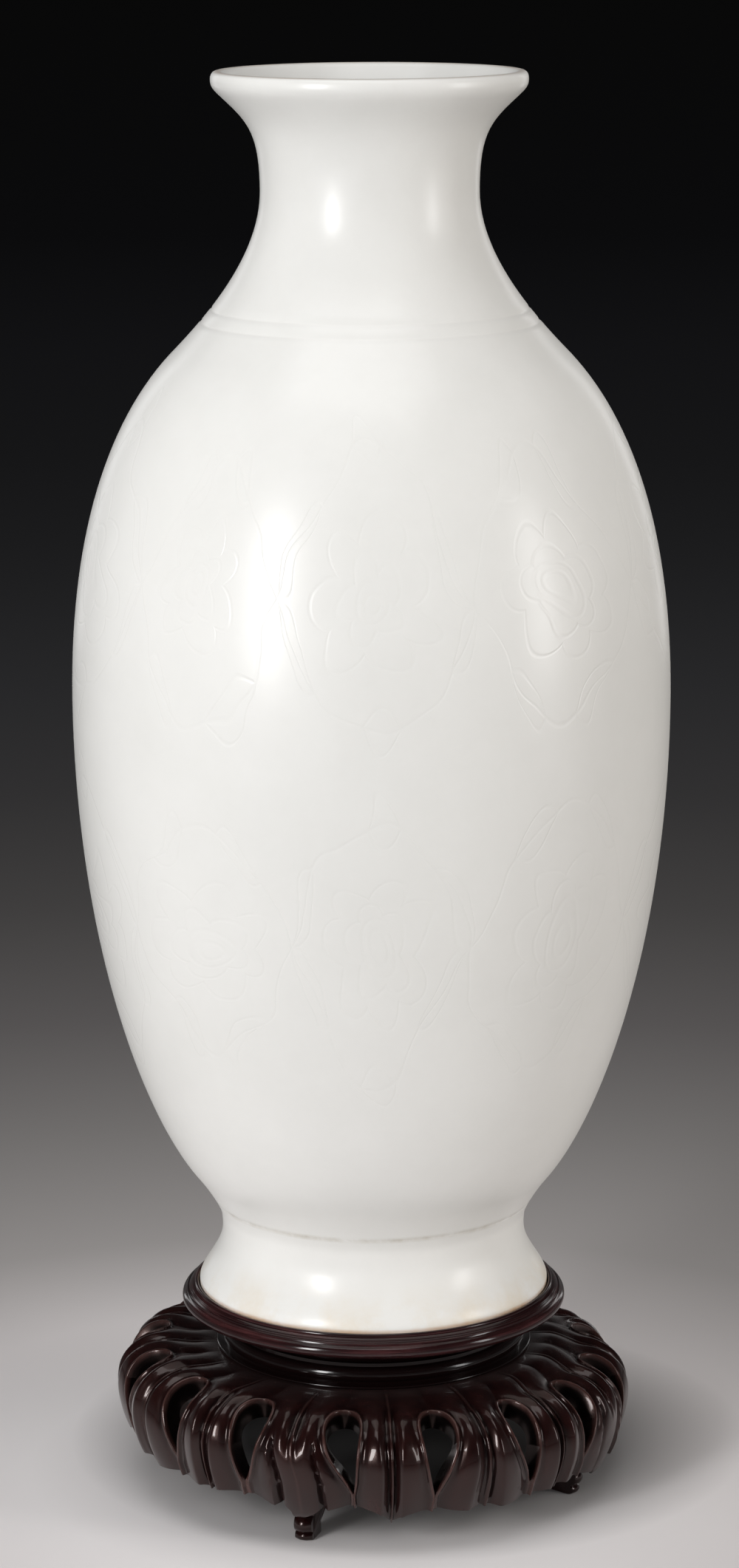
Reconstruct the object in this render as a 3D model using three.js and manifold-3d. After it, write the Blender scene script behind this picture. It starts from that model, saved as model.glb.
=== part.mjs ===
// A white porcelain vase with a flared mouth, standing in a carved hardwood stand.
// Millimetres, +Z up, origin on the floor at the middle of the stand.
// The vase lifts straight out of its seat. The stand is a turned seat ring and waist ring
// on an apron of four carved sectors, each with three whole leaf lobes, two halves and a foot.
import * as THREE from "three";
import { mergeVertices } from "three/addons/utils/BufferGeometryUtils.js";
import Module from "manifold-3d";

const wasm = await Module();
wasm.setup();

// Vase: radii of its outside, and the rises from each of them to the next
const FOOT_RADIUS = 57.3;
const FOOT_HEIGHT = 32.5;
const FOOT_SHOULDER_RADIUS = 49.7;
const CREASE_RADIUS = 46.4;
const BELLY_RISE = 169;
const BELLY_RADIUS = 96;
const SHOULDER_RISE = 111.5;
const SHOULDER_RADIUS = 61.8;
const NECK_RISE = 50;
const NECK_RADIUS = 34.5;
const MOUTH_RISE = 31.5;
const LIP_HEIGHT = 5.5;
const LIP_RADIUS = 49.8;
const LIP_THICKNESS = 3.8;
const VASE_WALL = 4.4;
const FOOT_RING_WIDTH = 6;
const FOOT_EDGE = 1.5; // bevel round the bottom of the foot
const BASE_THICKNESS = 7;

// Vase: fullness of its curves, as shares of the rise that each pull runs along
const LOWER_BELLY_PULL = 0.435;
const UPPER_BELLY_PULL = 0.47;
const SHOULDER_PULL = 0.27;
const SHOULDER_SLOPE = 46; // degrees from upright
const NECK_PULL = 0.36;
const MOUTH_PULL = 0.55;

// Stand: seat ring
const SEAT_DEPTH = 5.4; // how far the vase's foot sinks into the ring
const SEAT_CLEARANCE = 0.4; // radial play round the foot
const RING_HEIGHT = 13.5;
const RING_WIDTH = 5.5; // from the seat's wall to the outside
const BEAD_RADIUS = 0.7;
const TORUS_RADIUS = 2.4;
const TORUS_DROP = 5.9; // from the top of the ring to the middle of the torus
const BAND_DROP = 3.1;
const LEDGE_WIDTH = 8.3; // under the vase's foot ring
const PANEL_THICKNESS = 3;
const PANEL_CLEARANCE = 0.3;

// Stand: waist ring
const WAIST_SETBACK = 10.2; // from the seat's wall in to the waist
const WAIST_WALL = 7.5; // from the waist in to the bore of the rings
const WAIST_HEIGHT = 7.2;
const CUSHION_RADIUS = 2.3;
const FILLET_THICKNESS = 0.9;
const SCOTIA_HEIGHT = 1.1; // hollow between the fillet and the cushion
const FILLET_REACH = 4.5; // from the waist out to the fillet's edge

// Stand: leaf apron; heights are above the floor
const LEAF_RADIUS = 82.8;
const LEAF_WIDEST_HEIGHT = 29;
const LEAF_DOME_RISE = 15.7; // from the widest line up to the top
const LEAF_TIP_HEIGHT = 10.5;
const LEAF_TIP_RADIUS = 75.8;
const LEAF_THICKNESS = 6;
const LEAF_EDGE_THICKNESS = 3.2;
const FOLD_DEPTH = 1.5;
const SECTORS = 4;
const LOBES_PER_SECTOR = 4;
const TEARDROP_WIDTH = 11.4;
const TEARDROP_TOP_SHARE = 0.29; // shares of the leaf's outline, from its top to its tip
const TEARDROP_POINT_SHARE = 0.8;
const TEARDROP_WIDEST_SHARE = 0.36; // share of the opening's length
const SCALLOP_SHARE = 0.885; // where the flutes end on the outline
const LOBE_SEAM_SHARE = 0.87; // where two lobes meet at the lower edge

// Stand: scroll feet
const FOOT_WIDTH = 6.8;
const TOE_RADIUS = 3.3;
const TOE_CENTRE_RADIUS = 70.3;
const SOLE_LENGTH = 13;

// Stand: hidden joinery
const GLUE_GAP = 0.3; // kept between pieces that touch
const DOWEL_RADIUS = 2;
const DOWEL_END_DEPTH = 3; // into the seat ring and into the apron
const TONGUE_LENGTH = 10;
const TONGUE_THICKNESS = 2;
const TONGUE_DEPTH = 4.5; // into each of the two sectors that it joins
const TONGUE_SETBACK = 11; // from the bore of the rings out to the tongue's middle

// Smoothness
const VASE_SLICES = 40;
const RING_SLICES = 40;
const DOWEL_SIDES = 8;

// Levels and radii that follow from the sizes above
const degrees = Math.PI / 180;
const vaseHeight = FOOT_HEIGHT + BELLY_RISE + SHOULDER_RISE + NECK_RISE + MOUTH_RISE + LIP_HEIGHT;
const leafTop = LEAF_WIDEST_HEIGHT + LEAF_DOME_RISE;
const waistBottom = leafTop + GLUE_GAP;
const waistTop = waistBottom + WAIST_HEIGHT;
const ringBottom = waistTop + GLUE_GAP;
const ringTop = ringBottom + RING_HEIGHT;
const vaseBottom = ringTop - SEAT_DEPTH;
const seatFloor = vaseBottom - GLUE_GAP;
const seatRadius = FOOT_RADIUS + SEAT_CLEARANCE;
const rebateRadius = seatRadius - LEDGE_WIDTH;
const rebateFloor = seatFloor - PANEL_THICKNESS - GLUE_GAP;
const waistRadius = seatRadius - WAIST_SETBACK;
const boreRadius = waistRadius - WAIST_WALL;
const dowelCircleRadius = waistRadius - WAIST_WALL / 2;
const tongueCentreRadius = boreRadius + TONGUE_SETBACK;
const filletRadius = waistRadius + FILLET_REACH;
const sectorAngle = (2 * Math.PI) / SECTORS;
const lobeAngle = sectorAngle / LOBES_PER_SECTOR;

const porcelain = new THREE.MeshStandardMaterial({ color: 0xe6e6e0, roughness: 0.15, metalness: 0 });
const blackwood = new THREE.MeshStandardMaterial({ color: 0x2a1614, roughness: 0.3, metalness: 0 });
const innerWood = new THREE.MeshStandardMaterial({ color: 0x4a2b20, roughness: 0.6, metalness: 0 });

// Outline helpers: points are [radius, height]
function bezier(start, startPull, endPull, end, steps) {
  const curve = new THREE.CubicBezierCurve(
    new THREE.Vector2(...start),
    new THREE.Vector2(...startPull),
    new THREE.Vector2(...endPull),
    new THREE.Vector2(...end),
  );
  return curve.getPoints(steps).map((point) => [point.x, point.y]);
}

function arc(centre, radius, from, to, steps) {
  const points = [];
  for (let i = 0; i <= steps; i++) {
    const angle = (from + ((to - from) * i) / steps) * degrees;
    points.push([centre[0] + radius * Math.cos(angle), centre[1] + radius * Math.sin(angle)]);
  }
  return points;
}

// Moves an outline inwards, square to itself
function inset(points, distance) {
  return points.map(([radius, height], i) => {
    const before = points[Math.max(i - 1, 0)];
    const after = points[Math.min(i + 1, points.length - 1)];
    const along = new THREE.Vector2(after[0] - before[0], after[1] - before[1]).normalize();
    return [radius - along.y * distance, height + along.x * distance];
  });
}

// Turns an outline, taken anticlockwise, about the vertical axis
function turned(points, slices) {
  const outline = points.map(([radius, height]) => new THREE.Vector2(radius, height));
  return new THREE.LatheGeometry(outline, slices).rotateX(Math.PI / 2);
}

// Cutting and joining: geometry to solid and back
function solid(geometry) {
  const bare = geometry.clone();
  bare.deleteAttribute("normal");
  bare.deleteAttribute("uv");
  const merged = mergeVertices(bare, 1e-4);
  const mesh = new wasm.Mesh({
    numProp: 3,
    vertProperties: new Float32Array(merged.attributes.position.array),
    triVerts: new Uint32Array(merged.index.array),
  });
  return new wasm.Manifold(mesh);
}

function geometryOf(body) {
  const mesh = body.getMesh();
  const geometry = new THREE.BufferGeometry();
  geometry.setAttribute("position", new THREE.BufferAttribute(new Float32Array(mesh.vertProperties), 3));
  geometry.setIndex(new THREE.BufferAttribute(new Uint32Array(mesh.triVerts), 1));
  geometry.computeVertexNormals();
  return geometry;
}

// The vase's outside from the crease over its foot up to the lip, as four flowing curves
function vaseFlank() {
  const crease = [CREASE_RADIUS, FOOT_HEIGHT];
  const belly = [BELLY_RADIUS, FOOT_HEIGHT + BELLY_RISE];
  const shoulder = [SHOULDER_RADIUS, belly[1] + SHOULDER_RISE];
  const neck = [NECK_RADIUS, shoulder[1] + NECK_RISE];
  const mouth = [LIP_RADIUS - 0.8, neck[1] + MOUTH_RISE];
  const slope = [-Math.sin(SHOULDER_SLOPE * degrees), Math.cos(SHOULDER_SLOPE * degrees)];
  const shoulderPull = SHOULDER_RISE * SHOULDER_PULL;
  const neckPull = NECK_RISE * NECK_PULL;
  const mouthPull = MOUTH_RISE * MOUTH_PULL;
  const lower = bezier(
    crease,
    [crease[0] + 0.59 * (belly[0] - crease[0]), crease[1] + 0.1 * BELLY_RISE],
    [belly[0], belly[1] - BELLY_RISE * LOWER_BELLY_PULL],
    belly,
    8,
  );
  const upper = bezier(
    belly,
    [belly[0], belly[1] + SHOULDER_RISE * UPPER_BELLY_PULL],
    [shoulder[0] - slope[0] * shoulderPull, shoulder[1] - slope[1] * shoulderPull],
    shoulder,
    7,
  );
  const throat = bezier(
    shoulder,
    [shoulder[0] + slope[0] * neckPull, shoulder[1] + slope[1] * neckPull],
    [neck[0], neck[1] - neckPull],
    neck,
    4,
  );
  const flare = bezier(
    neck,
    [neck[0], neck[1] + mouthPull],
    [mouth[0] - 0.6 * mouthPull, mouth[1] - 0.58 * mouthPull],
    mouth,
    5,
  );
  return [...lower, ...upper.slice(1), ...throat.slice(1), ...flare.slice(1)];
}

// The vase: one thrown and glazed body, hollow to the crease, on a recessed foot
function vaseGeometry() {
  const footInner = FOOT_RADIUS - FOOT_RING_WIDTH;
  const baseLevel = FOOT_HEIGHT - BASE_THICKNESS;
  const under = [
    [0, baseLevel],
    [CREASE_RADIUS - 2 * VASE_WALL, baseLevel],
    [footInner - 5, baseLevel * 0.55],
    [footInner, 0],
  ];
  const foot = [
    [FOOT_RADIUS - FOOT_EDGE, 0],
    [FOOT_RADIUS, FOOT_EDGE],
    [FOOT_RADIUS, FOOT_HEIGHT * 0.23],
    ...bezier(
      [FOOT_RADIUS - 1.4, FOOT_HEIGHT * 0.31],
      [FOOT_SHOULDER_RADIUS + 2.5, FOOT_HEIGHT * 0.45],
      [FOOT_SHOULDER_RADIUS, FOOT_HEIGHT * 0.55],
      [FOOT_SHOULDER_RADIUS, FOOT_HEIGHT * 0.76],
      4,
    ),
    [FOOT_SHOULDER_RADIUS - 0.6, FOOT_HEIGHT * 0.9],
  ];
  const flank = vaseFlank();
  const lip = [
    [LIP_RADIUS, vaseHeight - LIP_HEIGHT * 0.4],
    [LIP_RADIUS - 0.6, vaseHeight - LIP_HEIGHT * 0.12],
    [LIP_RADIUS - LIP_THICKNESS / 2, vaseHeight],
    [LIP_RADIUS - LIP_THICKNESS, vaseHeight - LIP_HEIGHT * 0.2],
  ];
  const inside = inset(flank, VASE_WALL)
    .slice(1, -1)
    .filter((point, i) => i % 2 === 0)
    .reverse();
  return turned([...under, ...foot, ...flank, ...lip, ...inside, [0, FOOT_HEIGHT + 1]], VASE_SLICES);
}

// A bore for a dowel, standing on the given level
function dowelBore(from, to) {
  const bore = new THREE.CylinderGeometry(
    DOWEL_RADIUS + GLUE_GAP,
    DOWEL_RADIUS + GLUE_GAP,
    to - from,
    DOWEL_SIDES,
  );
  return solid(bore.rotateX(Math.PI / 2).translate(dowelCircleRadius, 0, (from + to) / 2));
}

// Cuts one bore over the middle of each sector
function boredRing(geometry, from, to) {
  let ring = solid(geometry);
  for (let i = 0; i < SECTORS; i++) {
    const angle = ((i + 0.5) * 360) / SECTORS;
    ring = ring.subtract(dowelBore(from, to).rotate([0, 0, angle]));
  }
  return geometryOf(ring);
}

// The seat ring: bead, sloping band, torus and deep cove, with a ledge and a rebate inside
function seatRingGeometry() {
  const bead = [seatRadius + BEAD_RADIUS, ringTop - BEAD_RADIUS];
  const torus = [seatRadius + RING_WIDTH - TORUS_RADIUS, ringTop - TORUS_DROP];
  const outline = [
    [boreRadius, ringBottom],
    ...bezier(
      [waistRadius, ringBottom],
      [waistRadius + 1, torus[1] - TORUS_RADIUS],
      [waistRadius + 3, torus[1] - TORUS_RADIUS],
      [torus[0] - TORUS_RADIUS * 0.7, torus[1] - TORUS_RADIUS],
      3,
    ),
    ...arc(torus, TORUS_RADIUS, -70, 80, 6),
    [torus[0], ringTop - BAND_DROP],
    [bead[0] + BEAD_RADIUS + 0.3, ringTop - BAND_DROP / 3],
    ...arc(bead, BEAD_RADIUS, -10, 180, 3),
    [seatRadius, seatFloor],
    [rebateRadius, seatFloor],
    [rebateRadius, rebateFloor],
    [boreRadius, rebateFloor],
    [boreRadius, ringBottom],
  ];
  return boredRing(turned(outline, RING_SLICES), ringBottom - 1, ringBottom + DOWEL_END_DEPTH + GLUE_GAP);
}

// The seat panel: a thin round board dropped into the ring's rebate
function seatPanelGeometry() {
  const radius = rebateRadius - PANEL_CLEARANCE;
  const panel = new THREE.CylinderGeometry(radius, radius, PANEL_THICKNESS, RING_SLICES);
  return panel.rotateX(Math.PI / 2).translate(0, 0, seatFloor - PANEL_THICKNESS / 2);
}

// The waist ring: a short neck, a cushion moulding and a thin fillet over the leaf
function waistRingGeometry() {
  const filletTop = waistBottom + FILLET_THICKNESS;
  const cushion = [waistRadius + 0.7, filletTop + SCOTIA_HEIGHT + 0.75 * CUSHION_RADIUS];
  const outline = [
    [boreRadius, waistBottom],
    [filletRadius, waistBottom],
    [filletRadius, filletTop],
    [cushion[0] + CUSHION_RADIUS * 0.7, filletTop + SCOTIA_HEIGHT * 0.4],
    ...arc(cushion, CUSHION_RADIUS, -48, 100, 6),
    [waistRadius, waistTop],
    [boreRadius, waistTop],
    [boreRadius, waistBottom],
  ];
  return boredRing(turned(outline, RING_SLICES), waistBottom - 1, waistTop + 1);
}

// The leaf's outline before carving, from the edge of its flat top out and down to the tip
const leafOutline = new THREE.CurvePath();
leafOutline.add(
  new THREE.CubicBezierCurve(
    new THREE.Vector2(filletRadius, leafTop),
    new THREE.Vector2(filletRadius + 0.68 * (LEAF_RADIUS - filletRadius), leafTop),
    new THREE.Vector2(LEAF_RADIUS, leafTop - 0.34 * LEAF_DOME_RISE),
    new THREE.Vector2(LEAF_RADIUS, LEAF_WIDEST_HEIGHT),
  ),
);
leafOutline.add(
  new THREE.CubicBezierCurve(
    new THREE.Vector2(LEAF_RADIUS, LEAF_WIDEST_HEIGHT),
    new THREE.Vector2(LEAF_RADIUS, LEAF_WIDEST_HEIGHT - 0.3 * (LEAF_WIDEST_HEIGHT - LEAF_TIP_HEIGHT)),
    new THREE.Vector2(
      LEAF_TIP_RADIUS + 0.5 * (LEAF_RADIUS - LEAF_TIP_RADIUS),
      LEAF_TIP_HEIGHT + 0.15 * (LEAF_WIDEST_HEIGHT - LEAF_TIP_HEIGHT),
    ),
    new THREE.Vector2(LEAF_TIP_RADIUS, LEAF_TIP_HEIGHT),
  ),
);

// Half the teardrop's width at a share of its length: round above, pointed below
function teardropHalfWidth(share) {
  if (share <= 0 || share >= 1) return 0;
  const above = (TEARDROP_WIDEST_SHARE - share) / TEARDROP_WIDEST_SHARE;
  const below = (share - TEARDROP_WIDEST_SHARE) / (1 - TEARDROP_WIDEST_SHARE);
  const fullness = above > 0 ? Math.sqrt(1 - above * above) : 1 - Math.pow(below, 1.7);
  return (fullness * TEARDROP_WIDTH) / 2;
}

// Carving across half a lobe: [share from the vein to the lobe's side, relief in fold depths]
const FLUTING = [
  [0, 0.7],
  [0.13, -0.7],
  [0.42, 0.8],
  [0.82, 0.3],
  [1, -0.4],
];

// Rows down the leaf: shares of the outline, close together round the top of the teardrop
const teardropLength = TEARDROP_POINT_SHARE - TEARDROP_TOP_SHARE;
const openingRows = [0, 0.05, 0.16, 0.34, 0.6, 0.82, 1];
const leafRows = [
  0,
  TEARDROP_TOP_SHARE * 0.55,
  ...openingRows.map((share) => TEARDROP_TOP_SHARE + share * teardropLength),
];
const LOWER_ROWS = 2;
const TIP_HALF_WIDTH = FLUTING[1][0];

// Where the outline ends, at a share across half a lobe: a tip, a scallop, and the lobes' seam
function lowerEnd(across) {
  if (across < TIP_HALF_WIDTH) return 1 + ((SCALLOP_SHARE - 1) * across) / TIP_HALF_WIDTH;
  const pastTip = (across - TIP_HALF_WIDTH) / (1 - TIP_HALF_WIDTH);
  return SCALLOP_SHARE + (LOBE_SEAM_SHARE - SCALLOP_SHARE) * Math.pow(pastTip, 3);
}

// One station of the leaf: its angle, and its radius and height outside and inside
function leafStation(row, column) {
  const [across, relief] = FLUTING[column];
  const rowsDown = row - (leafRows.length - 1);
  const end = lowerEnd(across);
  const lowerShare = TEARDROP_POINT_SHARE + ((end - TEARDROP_POINT_SHARE) * rowsDown) / LOWER_ROWS;
  const share = rowsDown <= 0 ? leafRows[row] : lowerShare;
  const base = leafOutline.getPointAt(share);
  const along = leafOutline.getTangentAt(share);
  const normal = new THREE.Vector2(-along.y, along.x);
  const folding = THREE.MathUtils.smoothstep(share, TEARDROP_TOP_SHARE * 0.6, TEARDROP_TOP_SHARE + 0.1);
  const outside = base.clone().addScaledVector(normal, relief * folding * FOLD_DEPTH);
  const thinning = Math.max(rowsDown, 0) / LOWER_ROWS;
  const thickness = LEAF_THICKNESS + (LEAF_EDGE_THICKNESS - LEAF_THICKNESS) * thinning;
  const inside = base.clone().addScaledVector(normal, -thickness);
  const openingShare = (share - TEARDROP_TOP_SHARE) / teardropLength;
  const halfOpening = teardropHalfWidth(openingShare) / base.x;
  return { angle: across * (lobeAngle / 2 - halfOpening), outside, inside, open: halfOpening > 0 };
}

// The first row lies on the leaf's flat top, over the bore of the rings
function flatStation(column) {
  const [across] = FLUTING[column];
  return {
    angle: (across * lobeAngle) / 2,
    outside: new THREE.Vector2(boreRadius, leafTop),
    inside: new THREE.Vector2(boreRadius, leafTop - LEAF_THICKNESS),
    open: false,
  };
}

// One sector of the leaf as a closed shell, its middle lobe over +X
function leafShell() {
  const positions = [];
  const columns = FLUTING.length - 1;
  const rows = leafRows.length + LOWER_ROWS;
  const halfSector = LOBES_PER_SECTOR / 2;
  const stations = [];
  for (let row = 0; row <= rows; row++) {
    const line = [];
    for (let column = 0; column <= columns; column++) {
      line.push(row === 0 ? flatStation(column) : leafStation(row - 1, column));
    }
    stations.push(line);
  }

  function point(vein, side, row, column, face) {
    const station = stations[row][column];
    const place = station[face];
    const atSeam = Math.abs(vein) === halfSector && column === 0;
    const seamGap = atSeam ? GLUE_GAP / 2 / place.x : 0;
    const angle = vein * lobeAngle + side * (station.angle + seamGap);
    return [place.x * Math.cos(angle), place.x * Math.sin(angle), place.y];
  }

  function quad(side, a, b, c, d) {
    const corners = side > 0 ? [a, b, c, a, c, d] : [a, c, b, a, d, c];
    for (const corner of corners) positions.push(...corner);
  }

  function halfLobe(vein, side) {
    const at = (row, column, face) => point(vein, side, row, column, face);
    for (let row = 0; row < rows; row++) {
      for (let column = 0; column < columns; column++) {
        quad(
          side,
          at(row, column, "outside"),
          at(row + 1, column, "outside"),
          at(row + 1, column + 1, "outside"),
          at(row, column + 1, "outside"),
        );
        quad(
          side,
          at(row, column, "inside"),
          at(row, column + 1, "inside"),
          at(row + 1, column + 1, "inside"),
          at(row + 1, column, "inside"),
        );
      }
      if (stations[row][columns].open || stations[row + 1][columns].open) {
        quad(
          side,
          at(row, columns, "outside"),
          at(row + 1, columns, "outside"),
          at(row + 1, columns, "inside"),
          at(row, columns, "inside"),
        );
      }
      if (Math.abs(vein) === halfSector) {
        quad(
          side,
          at(row, 0, "outside"),
          at(row, 0, "inside"),
          at(row + 1, 0, "inside"),
          at(row + 1, 0, "outside"),
        );
      }
    }
    for (let column = 0; column < columns; column++) {
      quad(
        side,
        at(0, column, "outside"),
        at(0, column + 1, "outside"),
        at(0, column + 1, "inside"),
        at(0, column, "inside"),
      );
      quad(
        side,
        at(rows, column, "outside"),
        at(rows, column, "inside"),
        at(rows, column + 1, "inside"),
        at(rows, column + 1, "outside"),
      );
    }
  }

  for (let vein = -halfSector; vein <= halfSector; vein++) {
    if (vein > -halfSector) halfLobe(vein, -1);
    if (vein < halfSector) halfLobe(vein, 1);
  }
  const geometry = new THREE.BufferGeometry();
  geometry.setAttribute("position", new THREE.BufferAttribute(new Float32Array(positions), 3));
  return solid(geometry);
}

// A foot: a bracket that grows out of the lobe, with a flat sole and a toe rolled outwards
function scrollFoot() {
  const toe = [TOE_CENTRE_RADIUS, TOE_RADIUS];
  const heel = TOE_CENTRE_RADIUS - SOLE_LENGTH;
  const shape = new THREE.Shape();
  shape.moveTo(heel, 0);
  shape.lineTo(toe[0], 0);
  for (const [x, y] of arc(toe, TOE_RADIUS, -60, 150, 6)) shape.lineTo(x, y);
  shape.lineTo(toe[0] - 0.4, 2.7 * TOE_RADIUS);
  shape.lineTo(LEAF_TIP_RADIUS + 2, LEAF_TIP_HEIGHT + 4);
  shape.lineTo(LEAF_TIP_RADIUS + 3, LEAF_TIP_HEIGHT + 9);
  shape.lineTo(LEAF_TIP_RADIUS - 1, LEAF_TIP_HEIGHT + 12);
  shape.quadraticCurveTo(heel + 3, LEAF_TIP_HEIGHT + 2, heel, 0);
  const extrusion = { depth: FOOT_WIDTH, bevelEnabled: false, curveSegments: 4 };
  const foot = new THREE.ExtrudeGeometry(shape, extrusion);
  return solid(foot.translate(0, 0, -FOOT_WIDTH / 2).rotateX(Math.PI / 2));
}

// The slot for a tongue, half in each of two sectors
function tongueGeometry(spare) {
  const tongue = new THREE.BoxGeometry(
    TONGUE_LENGTH + 2 * spare,
    2 * (TONGUE_DEPTH + spare - GLUE_GAP),
    TONGUE_THICKNESS + 2 * spare,
  );
  return tongue.translate(tongueCentreRadius, 0, leafTop - LEAF_THICKNESS / 2);
}

function apronSectorGeometry() {
  const slot = solid(tongueGeometry(GLUE_GAP));
  const halfTurn = 180 / SECTORS;
  const sector = leafShell()
    .add(scrollFoot())
    .subtract(slot.rotate([0, 0, halfTurn]))
    .subtract(slot.rotate([0, 0, -halfTurn]))
    .subtract(dowelBore(leafTop - DOWEL_END_DEPTH - GLUE_GAP, leafTop + 1));
  return geometryOf(sector);
}

function dowelGeometry() {
  const bottom = leafTop - DOWEL_END_DEPTH;
  const top = ringBottom + DOWEL_END_DEPTH;
  const dowel = new THREE.CylinderGeometry(DOWEL_RADIUS, DOWEL_RADIUS, top - bottom, DOWEL_SIDES);
  return dowel.rotateX(Math.PI / 2).translate(dowelCircleRadius, 0, (top + bottom) / 2);
}

// Putting the object together
const object = new THREE.Group();

function addPiece(name, geometry, material, turn = 0) {
  const mesh = new THREE.Mesh(geometry, material);
  mesh.name = name;
  mesh.rotation.z = turn;
  object.add(mesh);
  return mesh;
}

addPiece("vase", vaseGeometry(), porcelain).position.z = vaseBottom;
addPiece("seat_ring", seatRingGeometry(), blackwood);
addPiece("seat_panel", seatPanelGeometry(), innerWood);
addPiece("waist_ring", waistRingGeometry(), blackwood);

const sectorGeometry = apronSectorGeometry();
for (let i = 0; i < SECTORS; i++) {
  const middle = (i + 0.5) * sectorAngle;
  addPiece(`apron_sector_${i + 1}`, sectorGeometry, blackwood, middle);
  addPiece(`dowel_${i + 1}`, dowelGeometry(), innerWood, middle);
  addPiece(`tongue_${i + 1}`, tongueGeometry(0), innerWood, middle + sectorAngle / 2);
}

export default object;
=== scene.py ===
import math

import bmesh
import bpy
from mathutils import Euler, Matrix, Vector, noise
from mathutils.geometry import interpolate_bezier


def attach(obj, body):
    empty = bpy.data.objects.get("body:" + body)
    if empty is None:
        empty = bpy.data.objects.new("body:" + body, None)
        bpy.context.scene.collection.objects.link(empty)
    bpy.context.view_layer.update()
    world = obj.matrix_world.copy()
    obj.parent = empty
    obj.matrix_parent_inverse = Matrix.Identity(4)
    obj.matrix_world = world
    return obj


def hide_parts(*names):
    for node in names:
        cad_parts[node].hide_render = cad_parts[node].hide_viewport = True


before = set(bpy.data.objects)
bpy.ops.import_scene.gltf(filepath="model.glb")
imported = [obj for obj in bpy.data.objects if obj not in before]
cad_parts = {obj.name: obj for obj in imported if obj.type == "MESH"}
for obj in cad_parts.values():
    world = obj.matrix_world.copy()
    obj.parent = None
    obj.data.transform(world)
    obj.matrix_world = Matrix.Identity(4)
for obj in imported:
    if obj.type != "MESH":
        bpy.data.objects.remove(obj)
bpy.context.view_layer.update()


# The vase: thrown white porcelain under a clear, faintly greenish glaze, fired on its foot ring.
# It was turned in two parts and luted at the faint line over the foot. Sizes are millimetres,
# as radius and height over its own foot; the finished mesh is in metres.
VASE_FOOT_LEVEL = 60.6
VASE_HEIGHT = 400.0
VASE_WALL = 4.4
INNER_WALL_ENDS = (39.0, 389.0)
VASE_STEPS = 144
RING_LINES = (321.8, 325.8)  # two lines incised round the shoulder
RING_LINE_DEPTH = 0.28
RING_LINE_HALF_WIDTH = 0.75
LUTED_LEVEL = 34.4  # the join of body and foot, hardly to be felt
LUTED_DEPTH = 0.1
LUTED_HALF_WIDTH = 0.6

vase_curves = [
    # start, start handle, end handle, end, steps
    ((51.3, 0.0), (51.2, 5.0), (47.5, 12.0), (44.5, 16.0), 6),
    ((57.3, 1.6), (57.4, 3.2), (57.4, 4.9), (57.3, 6.5), 4),
    ((57.3, 6.5), (56.6, 10.2), (50.0, 16.0), (49.6, 23.6), 14),
    ((49.6, 23.6), (49.5, 25.5), (49.7, 27.2), (49.9, 28.8), 6),
    ((49.9, 28.8), (50.3, 32.2), (56.0, 40.5), (58.7, 43.75), 12),
    ((58.7, 43.75), (74.9, 63.2), (96.0, 121.3), (96.0, 201.6), 36),
    ((96.0, 201.6), (96.0, 253.7), (83.4, 291.4), (61.8, 312.9), 30),
    ((61.8, 312.9), (49.6, 325.6), (34.5, 343.8), (34.5, 362.75), 22),
    ((34.5, 362.75), (34.5, 381.9), (38.8, 384.8), (47.6, 393.1), 20),
    ((47.6, 393.1), (49.3, 394.7), (49.8, 395.8), (49.8, 397.3), 5),
    ((49.8, 397.3), (49.8, 399.6), (48.6, 400.0), (47.5, 400.0), 6),
    ((47.5, 400.0), (46.4, 400.0), (45.6, 399.2), (45.0, 397.9), 6),
]


def curve_points(start, start_handle, end_handle, end, steps):
    corners = [Vector((x, 0, z)) for x, z in (start, start_handle, end_handle, end)]
    return [(p.x, p.z) for p in interpolate_bezier(*corners, steps + 1)]


def with_groove(points, level, depth, half_width):
    """Adds a small V groove where the outline passes a level."""
    for i in range(len(points) - 1):
        (r0, z0), (r1, z1) = points[i], points[i + 1]
        if z0 <= level < z1:
            slope = (r1 - r0) / (z1 - z0)
            radius = r0 + slope * (level - z0)
            groove = [
                (radius + slope * offset - sink, level + offset)
                for offset, sink in (
                    (-half_width, 0),
                    (-half_width * 0.4, depth * 0.75),
                    (0, depth),
                    (half_width * 0.4, depth * 0.75),
                    (half_width, 0),
                )
            ]
            kept_before = [p for p in points[: i + 1] if p[1] < level - half_width]
            kept_after = [p for p in points[i + 1 :] if p[1] > level + half_width]
            return kept_before + groove + kept_after
    return points


def moved_in(points, distance):
    """Moves an outline square to itself."""
    moved = []
    for i, (radius, height) in enumerate(points):
        before = points[max(i - 1, 0)]
        after = points[min(i + 1, len(points) - 1)]
        along = Vector((after[0] - before[0], after[1] - before[1])).normalized()
        moved.append((radius - along.y * distance, height + along.x * distance))
    return moved


def turned(points, steps, level=0.0):
    """Spins an outline once about the upright axis into a closed, smooth body."""
    bm = bmesh.new()
    verts = [bm.verts.new((radius, 0, height + level)) for radius, height in points]
    for a, b in zip(verts, verts[1:]):
        bm.edges.new((a, b))
    bmesh.ops.spin(
        bm,
        geom=bm.verts[:] + bm.edges[:],
        cent=(0, 0, 0),
        axis=(0, 0, 1),
        angle=2 * math.pi,
        steps=steps,
        use_merge=True,
    )
    bmesh.ops.remove_doubles(bm, verts=bm.verts[:], dist=0.001)
    bmesh.ops.recalc_face_normals(bm, faces=bm.faces[:])
    return bm


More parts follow.
